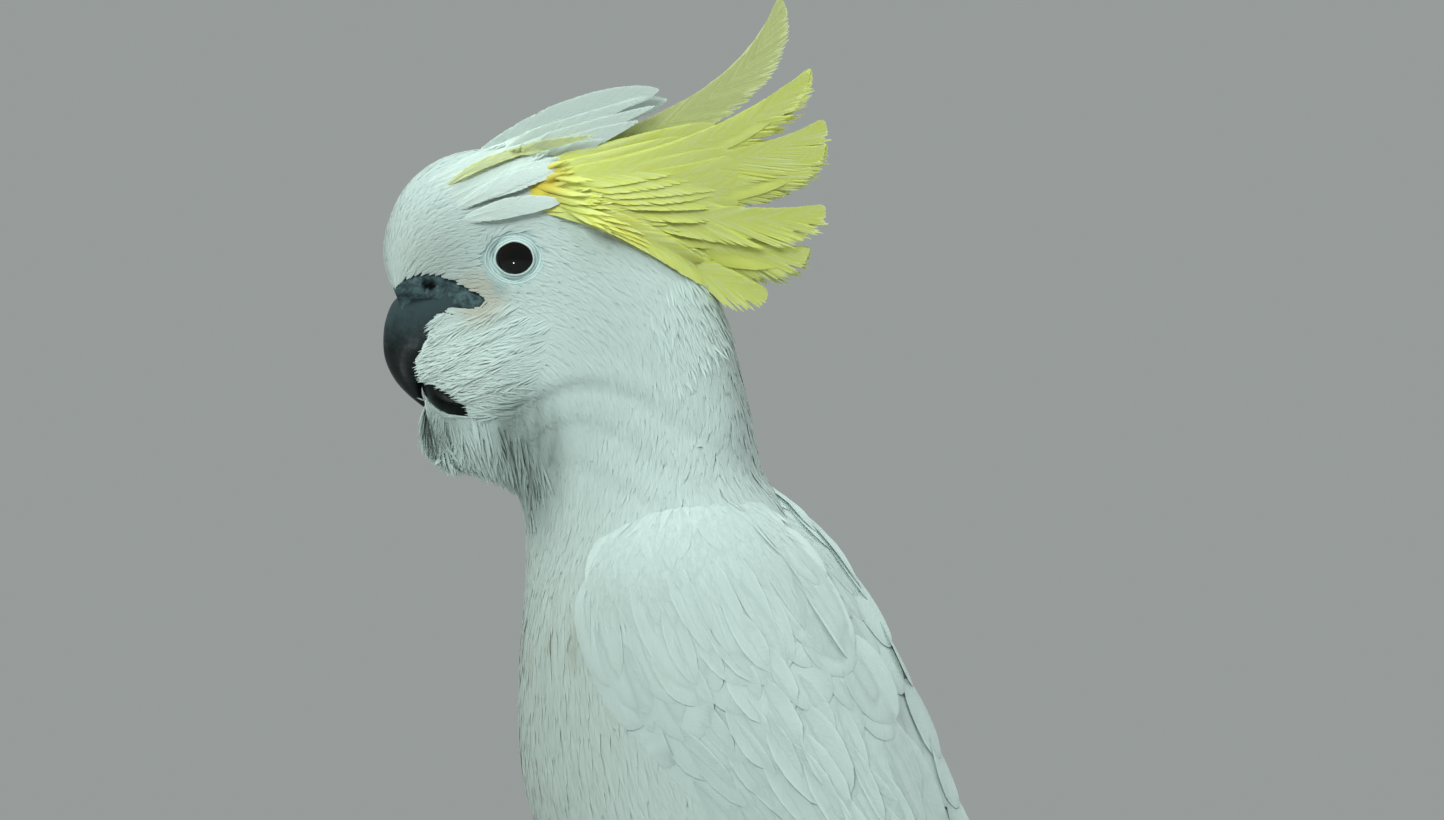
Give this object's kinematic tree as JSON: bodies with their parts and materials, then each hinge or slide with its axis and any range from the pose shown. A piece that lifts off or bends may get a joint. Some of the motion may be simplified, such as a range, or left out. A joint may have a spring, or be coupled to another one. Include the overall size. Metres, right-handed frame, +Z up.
{
  "type": "white cockatoo figure",
  "caption": "Life-size white cockatoo with a raised yellow crest, perched upright and looking to its left, on a short branch held by a plain round display stand",
  "frame": {"origin": "centre of the underside of the round stand base, on the floor, below the middle of the branch", "axes": "+Z up; -X the way the bird's body faces; -Y the bird's left, to which its head is turned by 18 degrees"},
  "size_m": [0.3142, 0.24, 0.5962],
  "materials": {
    "plumage": "soft, dense white feathers, slightly dusty on breast and neck",
    "crest_feathers": "stiff lemon-yellow feathers with fine barbs",
    "bill": "dark slate horn, powdery near its root",
    "bare_skin": "matt slate-blue bare skin",
    "eye": "wet gloss, near-black iris",
    "scaly_skin": "dark grey scales, powdery",
    "claw": "satin horn",
    "branch": "rough bark with pale cut ends",
    "stand_wood": "satin lacquered walnut",
    "stand_steel": "satin steel"
  },
  "bodies": {
    "root": {"head": "plumage", "bill_upper": "bill", "bill_lower": "bill", "cere": "bare_skin", "eye_left": "eye", "eye_right": "eye", "crest_white_left": "plumage", "crest_white_right": "plumage", "crest_yellow_1": "crest_feathers", "crest_yellow_2": "crest_feathers", "crest_yellow_3": "crest_feathers", "crest_yellow_4": "crest_feathers", "crest_yellow_5": "crest_feathers", "crest_yellow_6": "crest_feathers", "crest_yellow_7": "crest_feathers", "neck": "plumage", "trunk": "plumage", "tail": "plumage", "wing_coverts_left": "plumage", "wing_flight_left": "plumage", "wing_coverts_right": "plumage", "wing_flight_right": "plumage", "thigh_left": "plumage", "foot_left": "scaly_skin", "toe_1_left": "scaly_skin", "claw_1_left": "claw", "toe_2_left": "scaly_skin", "claw_2_left": "claw", "toe_3_left": "scaly_skin", "claw_3_left": "claw", "toe_4_left": "scaly_skin", "claw_4_left": "claw", "thigh_right": "plumage", "foot_right": "scaly_skin", "toe_1_right": "scaly_skin", "claw_1_right": "claw", "toe_2_right": "scaly_skin", "claw_2_right": "claw", "toe_3_right": "scaly_skin", "claw_3_right": "claw", "toe_4_right": "scaly_skin", "claw_4_right": "claw", "perch": "branch", "stand_base": "stand_wood", "stand_rod": "stand_steel", "stand_collar": "stand_steel"}
  },
  "joints": []
}
